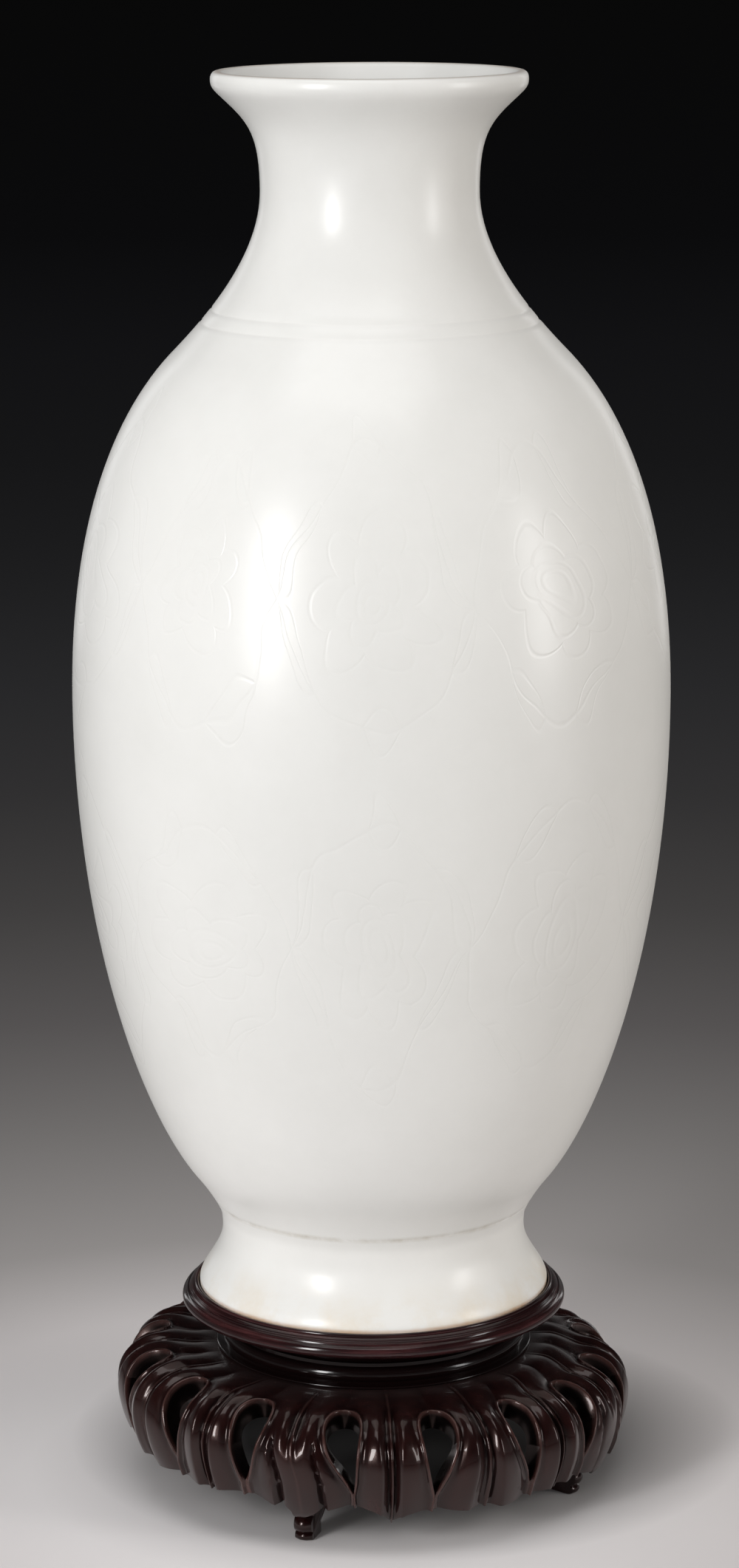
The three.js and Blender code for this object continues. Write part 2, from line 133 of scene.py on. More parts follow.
def finished(bm, name, material, crease=35):
    """Writes a mesh in metres, smooth but for its sharp edges, as a new object."""
    bmesh.ops.scale(bm, vec=(0.001, 0.001, 0.001), verts=bm.verts[:])
    mesh = bpy.data.meshes.new(name)
    bm.to_mesh(mesh)
    bm.free()
    mesh.polygons.foreach_set("use_smooth", [True] * len(mesh.polygons))
    mesh.set_sharp_from_angle(angle=math.radians(crease))
    mesh.materials.append(material)
    piece = bpy.data.objects.new(name, mesh)
    bpy.context.scene.collection.objects.link(piece)
    return piece


def colour(hex_code):
    """An sRGB hex value as linear colour."""
    channels = [int(hex_code[i : i + 2], 16) / 255 for i in (1, 3, 5)]
    linear = [c / 12.92 if c <= 0.04045 else ((c + 0.055) / 1.055) ** 2.4 for c in channels]
    return (*linear, 1.0)


def new_material(name):
    material = bpy.data.materials.new(name)
    material.use_nodes = True
    material.node_tree.nodes.clear()
    return material, material.node_tree


def add_node(tree, kind, links=None, **settings):
    """Adds a node: names with a leading i_ set inputs by name or number, others set properties."""
    node = tree.nodes.new(kind)
    for name, value in settings.items():
        if name.startswith("i_"):
            key = name[2:].replace("_", " ")
            node.inputs[int(key) if key.isdigit() else key].default_value = value
        else:
            setattr(node, name, value)
    for key, socket in (links or {}).items():
        tree.links.new(socket, node.inputs[key])
    return node


def set_stops(ramp, stops):
    """Gives a colour ramp its stops, as pairs of position and colour."""
    elements = ramp.color_ramp.elements
    while len(elements) < len(stops):
        elements.new(1.0)
    for element, (position, value) in zip(elements, stops):
        element.position = position
        element.color = value


foot_recess = curve_points(*vase_curves[0])[::-1]
outside = []
for curve in vase_curves[1:]:
    outside += curve_points(*curve)
for line in RING_LINES:
    outside = with_groove(outside, line, RING_LINE_DEPTH, RING_LINE_HALF_WIDTH)
outside = with_groove(outside, LUTED_LEVEL, LUTED_DEPTH, LUTED_HALF_WIDTH)
inner_low, inner_high = INNER_WALL_ENDS
inner_wall = [p for p in moved_in(outside, VASE_WALL) if inner_low < p[1] < inner_high][::-3]
vase_outline = [(0.0, 24.5), (30.0, 24.5), (37.5, 23.4), *foot_recess]
vase_outline += [(55.7, 0.0), *outside, *inner_wall, (40.0, 35.6), (20.0, 34.0), (0.0, 33.5)]

# Glaze over porcelain: a clear glass skin, so IOR 1.5 and nearly smooth, over a white body.
# The white pools faintly green where it lies thick, and thins to cream on the lip and foot.
glaze, tree = new_material("clear glaze on white porcelain")
place = add_node(tree, "ShaderNodeTexCoord")
split = add_node(tree, "ShaderNodeSeparateXYZ", {0: place.outputs["Object"]})
cloud = add_node(
    tree,
    "ShaderNodeTexNoise",
    {"Vector": place.outputs["Object"]},
    i_Scale=14.0,
    i_Detail=7.0,
    i_Roughness=0.7,
)
body_white = add_node(
    tree,
    "ShaderNodeMix",
    {0: cloud.outputs["Fac"]},
    data_type="RGBA",
    i_6=colour("#E3E2DE"),
    i_7=colour("#F3F2EF"),
)
stain_noise = add_node(
    tree,
    "ShaderNodeTexNoise",
    {"Vector": place.outputs["Object"]},
    i_Scale=42.0,
    i_Detail=5.0,
    i_Roughness=0.65,
)
near_foot = add_node(
    tree,
    "ShaderNodeMapRange",
    {"Value": split.outputs["Z"]},
    interpolation_type="SMOOTHSTEP",
    i_From_Min=0.062,
    i_From_Max=0.082,
    i_To_Min=1.0,
    i_To_Max=0.0,
)
stain_patch = add_node(
    tree,
    "ShaderNodeMapRange",
    {"Value": stain_noise.outputs["Fac"]},
    i_From_Min=0.42,
    i_From_Max=0.68,
)
stain = add_node(
    tree,
    "ShaderNodeMath",
    {0: near_foot.outputs["Result"], 1: stain_patch.outputs["Result"]},
    operation="MULTIPLY",
)
stain_share = add_node(
    tree, "ShaderNodeMath", {0: stain.outputs[0]}, operation="MULTIPLY", i_1=0.55
)
stained = add_node(
    tree,
    "ShaderNodeMix",
    {0: stain_share.outputs[0], 6: body_white.outputs[2]},
    data_type="RGBA",
    i_7=colour("#D9C29A"),
)
at_seat = add_node(
    tree,
    "ShaderNodeMapRange",
    {"Value": split.outputs["Z"]},
    i_From_Min=0.0662,
    i_From_Max=0.0671,
    i_To_Min=1.0,
    i_To_Max=0.0,
)
seat_patch = add_node(
    tree,
    "ShaderNodeMath",
    {0: at_seat.outputs["Result"], 1: stain_noise.outputs["Fac"]},
    operation="MULTIPLY",
)
seat_share = add_node(
    tree,
    "ShaderNodeMath",
    {0: seat_patch.outputs[0]},
    operation="MULTIPLY",
    i_1=1.1,
    use_clamp=True,
)
edged = add_node(
    tree,
    "ShaderNodeMix",
    {0: seat_share.outputs[0], 6: stained.outputs[2]},
    data_type="RGBA",
    i_7=colour("#B98E66"),
)
from_luting = add_node(
    tree,
    "ShaderNodeMath",
    {0: split.outputs["Z"]},
    operation="SUBTRACT",
    i_1=(VASE_FOOT_LEVEL + LUTED_LEVEL) / 1000,
)
off_luting = add_node(tree, "ShaderNodeMath", {0: from_luting.outputs[0]}, operation="ABSOLUTE")
in_luting = add_node(
    tree,
    "ShaderNodeMapRange",
    {"Value": off_luting.outputs[0]},
    i_From_Min=0.0002,
    i_From_Max=0.0013,
    i_To_Min=0.75,
    i_To_Max=0.0,
)
luting_share = add_node(
    tree,
    "ShaderNodeMath",
    {0: in_luting.outputs["Result"], 1: stain_patch.outputs["Result"]},
    operation="MULTIPLY",
)
luted = add_node(
    tree,
    "ShaderNodeMix",
    {0: luting_share.outputs[0], 6: edged.outputs[2]},
    data_type="RGBA",
    i_7=colour("#A89E88"),
)
on_lip = add_node(
    tree,
    "ShaderNodeMapRange",
    {"Value": split.outputs["Z"]},
    i_From_Min=0.46015,
    i_From_Max=(VASE_FOOT_LEVEL + VASE_HEIGHT) / 1000,
    i_To_Max=0.6,
)
lip_patch = add_node(
    tree,
    "ShaderNodeMath",
    {0: on_lip.outputs["Result"], 1: stain_noise.outputs["Fac"]},
    operation="MULTIPLY",
)
lipped = add_node(
    tree,
    "ShaderNodeMix",
    {0: lip_patch.outputs[0], 6: luted.outputs[2]},
    data_type="RGBA",
    i_7=colour("#B98F6A"),
)
ripple = add_node(
    tree, "ShaderNodeTexNoise", {"Vector": place.outputs["Object"]}, i_Scale=260.0, i_Detail=2.0
)
ripple_bump = add_node(
    tree, "ShaderNodeBump", {"Height": ripple.outputs["Fac"]}, i_Strength=0.05, i_Distance=0.0002
)

# Incised under the glaze, and hardly to be seen: two rows of leafy stems that cross in loops,
# with a ringed flower in each loop. Lines are 1 mm wide; eight loops go round the belly, and a
# slow noise bends all of it by a few millimetres, as a hand does.
LOOPS = 8
LOOP_HEIGHT = 0.11
LOWER_LOOP_LEVEL = 0.215
PATTERN_TURN = 0.21
PATTERN_MIDDLE = 0.255
PATTERN_REACH = 0.11
STEM_PHASE = 0.71
LEAF_PHASE = 0.4
FLOWER_PHASE = 0.2266
HAND_WANDER = 0.03
STEM_SWING = 0.042
LEAF_SWELL = 0.008
BELLY_RADIUS = 0.093
PETAL_ROWS = ((5, 0.0115, 0.0022), (7, 0.0195, 0.0035))  # number, radius and depth of petals
FLOWER_RINGS = (0.0035, 0.007)
wander = add_node(
    tree, "ShaderNodeTexNoise", {"Vector": place.outputs["Object"]}, i_Scale=24.0, i_Detail=1.5
)
by_hand = add_node(
    tree,
    "ShaderNodeVectorMath",
    {0: wander.outputs["Color"], 2: place.outputs["Object"]},
    operation="MULTIPLY_ADD",
    i_1=(HAND_WANDER,) * 3,
)
drawn = add_node(tree, "ShaderNodeSeparateXYZ", {0: by_hand.outputs[0]})
bearing = add_node(
    tree, "ShaderNodeMath", {0: drawn.outputs["Y"], 1: drawn.outputs["X"]}, operation="ARCTAN2"
)
around = add_node(
    tree, "ShaderNodeMath", {0: bearing.outputs[0]}, operation="SUBTRACT", i_1=PATTERN_TURN
)
rows_up = add_node(
    tree,
    "ShaderNodeMath",
    {0: drawn.outputs["Z"]},
    operation="MULTIPLY_ADD",
    i_1=1 / LOOP_HEIGHT,
    i_2=0.5 - LOWER_LOOP_LEVEL / LOOP_HEIGHT,
)
row_share = add_node(tree, "ShaderNodeMath", {0: rows_up.outputs[0]}, operation="FRACT")
up = add_node(
    tree,
    "ShaderNodeMath",
    {0: row_share.outputs[0]},
    operation="MULTIPLY_ADD",
    i_1=LOOP_HEIGHT,
    i_2=-0.5 * LOOP_HEIGHT,
)
loops_along = add_node(
    tree,
    "ShaderNodeMath",
    {0: around.outputs[0]},
    operation="MULTIPLY_ADD",
    i_1=LOOPS / 2,
    i_2=STEM_PHASE,
)
wave = add_node(tree, "ShaderNodeMath", {0: loops_along.outputs[0]}, operation="SINE")
leaves_along = add_node(
    tree,
    "ShaderNodeMath",
    {0: around.outputs[0]},
    operation="MULTIPLY_ADD",
    i_1=LOOPS * 2.5,
    i_2=LEAF_PHASE,
)
leaf_wave = add_node(tree, "ShaderNodeMath", {0: leaves_along.outputs[0]}, operation="SINE")
leaf_half = add_node(
    tree, "ShaderNodeMath", {0: leaf_wave.outputs[0]}, operation="MULTIPLY", i_1=LEAF_SWELL
)
cells = add_node(
    tree,
    "ShaderNodeMath",
    {0: around.outputs[0]},
    operation="MULTIPLY_ADD",
    i_1=LOOPS / (2 * math.pi),
    i_2=FLOWER_PHASE,
)
cell_share = add_node(tree, "ShaderNodeMath", {0: cells.outputs[0]}, operation="FRACT")
cell_width = 2 * math.pi * BELLY_RADIUS / LOOPS
along = add_node(
    tree,
    "ShaderNodeMath",
    {0: cell_share.outputs[0]},
    operation="MULTIPLY_ADD",
    i_1=cell_width,
    i_2=-0.5 * cell_width,
)
from_flower = add_node(tree, "ShaderNodeCombineXYZ", {0: along.outputs[0], 1: up.outputs[0]})
flower_radius = add_node(
    tree, "ShaderNodeVectorMath", {0: from_flower.outputs[0]}, operation="LENGTH"
)
flower_turn = add_node(
    tree, "ShaderNodeMath", {0: up.outputs[0], 1: along.outputs[0]}, operation="ARCTAN2"
)
lines = []
for side in (-STEM_SWING, STEM_SWING):
    stem = add_node(
        tree,
        "ShaderNodeMath",
        {0: wave.outputs[0], 2: up.outputs[0]},
        operation="MULTIPLY_ADD",
        i_1=side,
    )
    from_stem = add_node(tree, "ShaderNodeMath", {0: stem.outputs[0]}, operation="ABSOLUTE")
    on_leaf = add_node(
        tree,
        "ShaderNodeMath",
        {0: from_stem.outputs[0], 1: leaf_half.outputs[0]},
        operation="SUBTRACT",
    )
    lines += [from_stem, on_leaf]
for petal_count, middle, depth in PETAL_ROWS:
    petals = add_node(
        tree,
        "ShaderNodeMath",
        {0: flower_turn.outputs[0]},
        operation="MULTIPLY",
        i_1=petal_count / 2,
    )
    petal_wave = add_node(tree, "ShaderNodeMath", {0: petals.outputs[0]}, operation="SINE")
    rounded = add_node(tree, "ShaderNodeMath", {0: petal_wave.outputs[0]}, operation="ABSOLUTE")
    petal_edge = add_node(
        tree,
        "ShaderNodeMath",
        {0: rounded.outputs[0]},
        operation="MULTIPLY_ADD",
        i_1=depth * 2,
        i_2=middle - depth,
    )
    on_petal = add_node(
        tree,
        "ShaderNodeMath",
        {0: flower_radius.outputs["Value"], 1: petal_edge.outputs[0]},
        operation="SUBTRACT",
    )
    lines.append(on_petal)
for ring in FLOWER_RINGS:
    on_ring = add_node(
        tree, "ShaderNodeMath", {0: flower_radius.outputs["Value"]}, operation="SUBTRACT", i_1=ring
    )
    lines.append(on_ring)
nearest = None
for line in lines:
    off = add_node(tree, "ShaderNodeMath", {0: line.outputs[0]}, operation="ABSOLUTE")
    if nearest:
        off = add_node(
            tree, "ShaderNodeMath", {0: nearest.outputs[0], 1: off.outputs[0]}, operation="MINIMUM"
        )
    nearest = off
stroke = add_node(
    tree,
    "ShaderNodeMapRange",
    {"Value": nearest.outputs[0]},
    i_From_Min=0.0002,
    i_From_Max=0.001,
    i_To_Min=1.0,
    i_To_Max=0.0,
)
on_belly = add_node(
    tree,
    "ShaderNodeMath",
    {0: split.outputs["Z"]},
    operation="COMPARE",
    i_1=PATTERN_MIDDLE,
    i_2=PATTERN_REACH,
)
faint = add_node(
    tree,
    "ShaderNodeMath",
    {0: stroke.outputs["Result"], 1: on_belly.outputs[0]},
    operation="MULTIPLY",
)
incised_bump = add_node(
    tree,
    "ShaderNodeBump",
    {"Height": faint.outputs[0], "Normal": ripple_bump.outputs["Normal"]},
    invert=True,
    i_Strength=0.24,
    i_Distance=0.0002,
)
glaze_shader = add_node(
    tree,
    "ShaderNodeBsdfPrincipled",
    {"Base Color": lipped.outputs[2], "Normal": incised_bump.outputs["Normal"]},
    i_Roughness=0.27,
    i_IOR=1.5,
)
add_node(tree, "ShaderNodeOutputMaterial", {"Surface": glaze_shader.outputs["BSDF"]})

vase = finished(turned(vase_outline, VASE_STEPS, VASE_FOOT_LEVEL), "porcelain_vase", glaze, 50)
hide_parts("vase")
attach(vase, "vase")


# The seat ring: dark purplish hardwood turned on a lathe, waxed and polished. A bead edges the
# seat, a sloping band with fine turning lines runs down to a half-round, and a cove goes under.
SEAT_RADIUS = 57.7
SEAT_LEVEL = 60.3
RING_BORE = 40.0
RING_STEPS = 144


def arc_points(centre, radius, start, end, steps):
    angles = [math.radians(start + (end - start) * i / steps) for i in range(steps + 1)]
    return [(centre[0] + radius * math.cos(a), centre[1] + radius * math.sin(a)) for a in angles]


seat_ring_outline = [
    (RING_BORE, 52.5),
    (47.3, 52.5),
    *curve_points((47.5, 52.6), (49.6, 55.4), (51.6, 58.3), (59.2, 58.7), 9),
    *arc_points((61.1, 60.8), 2.1, -80, 70, 14),
    (61.6, 62.95),
    (61.2, 62.85),
    (61.05, 63.1),
    (61.0, 63.5),
    (60.55, 63.75),
    (60.6, 64.1),
    (60.2, 64.3),
    (60.25, 64.6),
    (59.7, 64.9),
    (59.35, 64.95),
    *arc_points((58.4, 65.3), 0.7, -20, 170, 9),
    (SEAT_RADIUS, 65.2),
    (SEAT_RADIUS, SEAT_LEVEL),
    (49.4, SEAT_LEVEL),
    (49.4, 57.0),
    (RING_BORE, 57.0),
    (RING_BORE, 52.5),
]

# Polished blackwood: a close, oily tropical hardwood, so IOR 1.5 with a low sheen of wax.
# Its grain shows as fine streaks, two to three to the millimetre, drawn at half that to show.
blackwood, tree = new_material("waxed blackwood, turned")
place = add_node(tree, "ShaderNodeTexCoord")
stretch = add_node(
    tree, "ShaderNodeMapping", {"Vector": place.outputs["Object"]}, i_Scale=(30.0, 30.0, 700.0)
)
grain = add_node(
    tree,
    "ShaderNodeTexNoise",
    {"Vector": stretch.outputs["Vector"]},
    i_Scale=1.0,
    i_Detail=4.0,
    i_Roughness=0.6,
)
grain_ramp = add_node(tree, "ShaderNodeValToRGB", {"Fac": grain.outputs["Fac"]})
set_stops(
    grain_ramp,
    [(0.3, colour("#120708")), (0.52, colour("#281415")), (0.74, colour("#4A2A2B"))],
)
split = add_node(tree, "ShaderNodeSeparateXYZ", {0: place.outputs["Object"]})
# The colour is painted near black as shade below 53 mm and fades back by 60 mm: the whole waist
# ring and the cove under the half-round lie in it.
above_painted_shade = add_node(
    tree, "ShaderNodeMapRange", {"Value": split.outputs["Z"]}, i_From_Min=0.053, i_From_Max=0.06
)
wear_and_painted_shade = add_node(
    tree,
    "ShaderNodeMix",
    {0: above_painted_shade.outputs["Result"], 7: grain_ramp.outputs["Color"]},
    data_type="RGBA",
    i_6=colour("#0E0606"),
)
grain_bump = add_node(
    tree, "ShaderNodeBump", {"Height": grain.outputs["Fac"]}, i_Strength=0.05, i_Distance=0.0002
)
wax = add_node(
    tree, "ShaderNodeMapRange", {"Value": grain.outputs["Fac"]}, i_To_Min=0.09, i_To_Max=0.2
)
wood_shader = add_node(
    tree,
    "ShaderNodeBsdfPrincipled",
    {
        "Base Color": wear_and_painted_shade.outputs[2],
        "Roughness": wax.outputs["Result"],
        "Normal": grain_bump.outputs["Normal"],
    },
    i_IOR=1.5,
)
add_node(tree, "ShaderNodeOutputMaterial", {"Surface": wood_shader.outputs["BSDF"]})

seat_ring = finished(turned(seat_ring_outline, RING_STEPS), "turned_seat_ring", blackwood)
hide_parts("seat_ring")
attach(seat_ring, "stand")


# The waist ring: the same wood, a short neck over a round cushion and a thin fillet, glued
# between the seat ring and the top of the leaf.
waist_ring_outline = [
    (RING_BORE, 45.0),
    (51.6, 45.0),
    *arc_points((51.6, 45.4), 0.4, -90, 90, 6),
    (50.2, 45.95),
    (49.3, 46.5),
    *arc_points((48.2, 48.7), 2.3, -50, 88, 14),
    (47.6, 51.1),
    (47.5, 52.2),
    (RING_BORE, 52.2),
    (RING_BORE, 45.0),
]
waist_ring = finished(turned(waist_ring_outline, RING_STEPS), "turned_waist_ring", blackwood)
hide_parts("waist_ring")
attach(waist_ring, "stand")


# The seat board: a thin round panel dropped loose into the ring's rebate, planed and unpolished,
# its upper edge eased by hand.
board_outline = [
    (0.0, SEAT_LEVEL),
    (48.5, SEAT_LEVEL),
    (48.9, 60.15),
    (49.1, 59.8),
    (49.1, 57.6),
    (48.8, 57.3),
    (0.0, 57.3),
]

# Planed inner wood: the bare heart of the stand, matt, with straight pores along the board.
inner_wood, tree = new_material("planed hardwood, unpolished")
place = add_node(tree, "ShaderNodeTexCoord")
stretch = add_node(
    tree, "ShaderNodeMapping", {"Vector": place.outputs["Object"]}, i_Scale=(18.0, 420.0, 60.0)
)
grain = add_node(
    tree,
    "ShaderNodeTexNoise",
    {"Vector": stretch.outputs["Vector"]},
    i_Scale=1.0,
    i_Detail=5.0,
    i_Roughness=0.6,
)
grain_ramp = add_node(tree, "ShaderNodeValToRGB", {"Fac": grain.outputs["Fac"]})
set_stops(
    grain_ramp,
    [(0.3, colour("#36201A")), (0.55, colour("#54342A")), (0.75, colour("#6B4536"))],
)
grain_bump = add_node(
    tree, "ShaderNodeBump", {"Height": grain.outputs["Fac"]}, i_Strength=0.3, i_Distance=0.0003
)
wood_shader = add_node(
    tree,
    "ShaderNodeBsdfPrincipled",
    {"Base Color": grain_ramp.outputs["Color"], "Normal": grain_bump.outputs["Normal"]},
    i_Roughness=0.62,
    i_IOR=1.5,
)
add_node(tree, "ShaderNodeOutputMaterial", {"Surface": wood_shader.outputs["BSDF"]})

board = finished(turned(board_outline, 96), "seat_board", inner_wood)
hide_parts("seat_panel")
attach(board, "stand")


# The dowels and tongues: the hidden pins through the rings and the loose tongues between the
# sectors, of the same bare inner wood. They keep their CAD shapes.
for number in range(1, 5):
    for name in (f"dowel_{number}", f"tongue_{number}"):
        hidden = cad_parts[name]
        hidden.data.materials.clear()
        hidden.data.materials.append(inner_wood)


# The apron: an overturned leaf carved from four hardwood sectors, glued along the veins.
# Each half lobe is one long roll between a thin raised vein and the rim of a pierced teardrop,
# with a flat lower edge and a small tip at the vein; every fourth vein swells into a scroll foot.
LEAF_TOP = 44.7
FILLET_RADIUS = 52.0
LEAF_THICKNESS = 6.0
EDGE_THINNING = 3.2
LOBE_ANGLE = math.radians(22.5)
TEARDROP_TOP = 0.29
TEARDROP_POINT = 0.805
TEARDROP_WIDTH = 11.0
WIDEST_SHARE = 0.32
SCALLOP_SHARE = 0.885
SEAM_GAP = 0.03

leaf_curves = [
    ((FILLET_RADIUS, LEAF_TOP), (72.94, LEAF_TOP), (82.8, 39.36), (82.8, 29.0), 160),
    ((82.8, 29.0), (82.8, 23.45), (79.3, 13.28), (75.8, 10.5), 120),
]
leaf_points = curve_points(*leaf_curves[0]) + curve_points(*leaf_curves[1])[1:]
leaf_lengths = [0.0]
for a, b in zip(leaf_points, leaf_points[1:]):
    leaf_lengths.append(leaf_lengths[-1] + math.dist(a, b))
LEAF_LENGTH = leaf_lengths[-1]


def leaf_place(share):
    """Radius, height and outward normal of the plain leaf at a share of its outline."""
    if share <= 0:
        return FILLET_RADIUS + share * LEAF_LENGTH, LEAF_TOP, 0.0, 1.0
    length = min(share, 1.0) * LEAF_LENGTH
    low, high = 0, len(leaf_lengths) - 1
    while high - low > 1:
        middle = (low + high) // 2
        if leaf_lengths[middle] <= length:
            low = middle
        else:
            high = middle
    (r0, z0), (r1, z1) = leaf_points[low], leaf_points[high]
    part = (length - leaf_lengths[low]) / (leaf_lengths[high] - leaf_lengths[low])
    run = math.dist((r0, z0), (r1, z1))
    normal = ((z0 - z1) / run, (r1 - r0) / run)
    return r0 + (r1 - r0) * part, z0 + (z1 - z0) * part, *normal


def opening_half_width(share):
    """Half the teardrop's width in millimetres: round above, pointed below."""
    down = (share - TEARDROP_TOP) / (TEARDROP_POINT - TEARDROP_TOP)
    if down <= 0 or down >= 1:
        return 0.0
    if down < WIDEST_SHARE:
        return TEARDROP_WIDTH / 2 * math.sqrt(1 - (1 - down / WIDEST_SHARE) ** 2)
    return TEARDROP_WIDTH / 2 * (1 - ((down - WIDEST_SHARE) / (1 - WIDEST_SHARE)) ** 1.6)


def smooth(value, low, high):
    part = min(max((value - low) / (high - low), 0.0), 1.0)
    return part * part * (3 - 2 * part)


def bump(distance, width):
    return math.exp(-((distance / width) ** 2))


def bead(distance, half_width):
    """A half-round bead of height one."""
    return math.sqrt(max(1 - (distance / half_width) ** 2, 0.0))


# Rows down the leaf as shares of its outline, close together round the arch and the lower edge
arch = TEARDROP_POINT - TEARDROP_TOP
rows = [(RING_BORE - FILLET_RADIUS) / LEAF_LENGTH, -0.04, 0.0, 0.04, 0.08, 0.115, 0.145]
rows += [0.17, 0.19, 0.208, 0.223, 0.236, 0.247, 0.256, 0.264, 0.271, 0.277, 0.282, 0.286]
rows += [
    TEARDROP_TOP + arch * WIDEST_SHARE * (1 - math.cos(math.radians(90) * i / 14))
    for i in range(14)
]
rows += [
    TEARDROP_TOP + arch * (WIDEST_SHARE + (1 - WIDEST_SHARE) * i / 20) for i in range(21)
]
lower_rows = [0.14, 0.3, 0.45, 0.6, 0.73, 0.84, 0.93, 1.0]
columns = [0, 0.02, 0.04, 0.065, 0.09, 0.115, 0.145, 0.18, 0.22, 0.265, 0.31, 0.36, 0.41]
columns += [0.465, 0.52, 0.58, 0.64, 0.7, 0.755, 0.8, 0.84, 0.87, 0.9, 0.925, 0.95, 0.975, 1.0]


def lower_end(across):
    """Where the outline ends, across half a lobe: a small tip at the vein and a flat edge."""
    return SCALLOP_SHARE + (1 - SCALLOP_SHARE) * math.exp(-((across / 0.2) ** 1.6))


# Half a lobe as a flat grid, then the whole sector in its flat pattern: x is the angle about
# the axis in units of one lobe, y the share of the outline, and the inside lies one unit lower
pattern = bmesh.new()
half = bmesh.ops.create_grid(
    pattern,
    x_segments=len(columns) - 1,
    y_segments=len(rows) + len(lower_rows) - 1,
    size=0.5,
)
for vert in half["verts"]:
    column = round((vert.co.x + 0.5) * (len(columns) - 1))
    row = round((0.5 - vert.co.y) * (len(rows) + len(lower_rows) - 1))
    across = columns[column]
    if row < len(rows):
        share = rows[row]
    else:
        share = TEARDROP_POINT + (lower_end(across) - TEARDROP_POINT) * lower_rows[row - len(rows)]
    radius = leaf_place(share)[0]
    opening = opening_half_width(share) / radius / LOBE_ANGLE
    vert.co = (across * (0.5 - opening), share, 0.0)
bmesh.ops.mirror(
    pattern, geom=pattern.verts[:] + pattern.edges[:] + pattern.faces[:], merge_dist=1e-5, axis="X"
)
one_lobe = pattern.verts[:] + pattern.edges[:] + pattern.faces[:]
for lobe in (-2, -1, 1, 2):
    copy = bmesh.ops.duplicate(pattern, geom=one_lobe)
    copied = [item for item in copy["geom"] if isinstance(item, bmesh.types.BMVert)]
    bmesh.ops.translate(pattern, vec=(lobe, 0, 0), verts=copied)
bmesh.ops.remove_doubles(pattern, verts=pattern.verts[:], dist=1e-5)
for side in (-1, 1):
    bmesh.ops.bisect_plane(
        pattern,
        geom=pattern.verts[:] + pattern.edges[:] + pattern.faces[:],
        dist=1e-5,
        plane_co=(2 * side, 0, 0),
        plane_no=(side, 0, 0),
        clear_outer=True,
    )
bmesh.ops.recalc_face_normals(pattern, faces=pattern.faces[:])
if pattern.faces[:][0].normal.z < 0:
    bmesh.ops.reverse_faces(pattern, faces=pattern.faces[:])
bmesh.ops.solidify(pattern, geom=pattern.faces[:], thickness=1.0)
outer_level = max(vert.co.z for vert in pattern.verts)

teardrop_shares = [TEARDROP_TOP + arch * (1 - math.cos(math.pi * i / 120)) / 2 for i in range(121)]
teardrop_edge = [
    Vector((opening_half_width(share), share * LEAF_LENGTH)) for share in teardrop_shares
]


def rim_distance(place):
    """Distance in millimetres from the edge of the teardrop."""
    spans = [(point - place).length_squared for point in teardrop_edge]
    nearest = spans.index(min(spans))
    shortest = math.sqrt(spans[nearest])
    for i in (nearest - 1, nearest):
        if 0 <= i < len(teardrop_edge) - 1:
            run = teardrop_edge[i + 1] - teardrop_edge[i]
            part = (place - teardrop_edge[i]).dot(run) / run.length_squared
            on_edge = teardrop_edge[i] + run * min(max(part, 0.0), 1.0)
            shortest = min(shortest, (on_edge - place).length)
    return shortest


# The carver's cuts, in millimetres
CREST_PLACE = 4.0  # from the vein to the crest of the roll
ROLL_HEIGHT = 1.45
TROUGH_PLACE = 1.35
TROUGH_DEPTH = 0.8
HOLLOW_PLACE = 2.3  # from the teardrop's rim
HOLLOW_DEPTH = 0.55
VEIN_HALF_WIDTH = 0.6
RIM_HEIGHT = 0.75
RIM_HALF_WIDTH = 0.65
SWELL_HEIGHT = 0.85
LEG_HALF_WIDTH = 6.0
LEG_HEIGHT = 1.5
LAP_HEIGHT = 0.35
LAP_DEPTH = 1.5


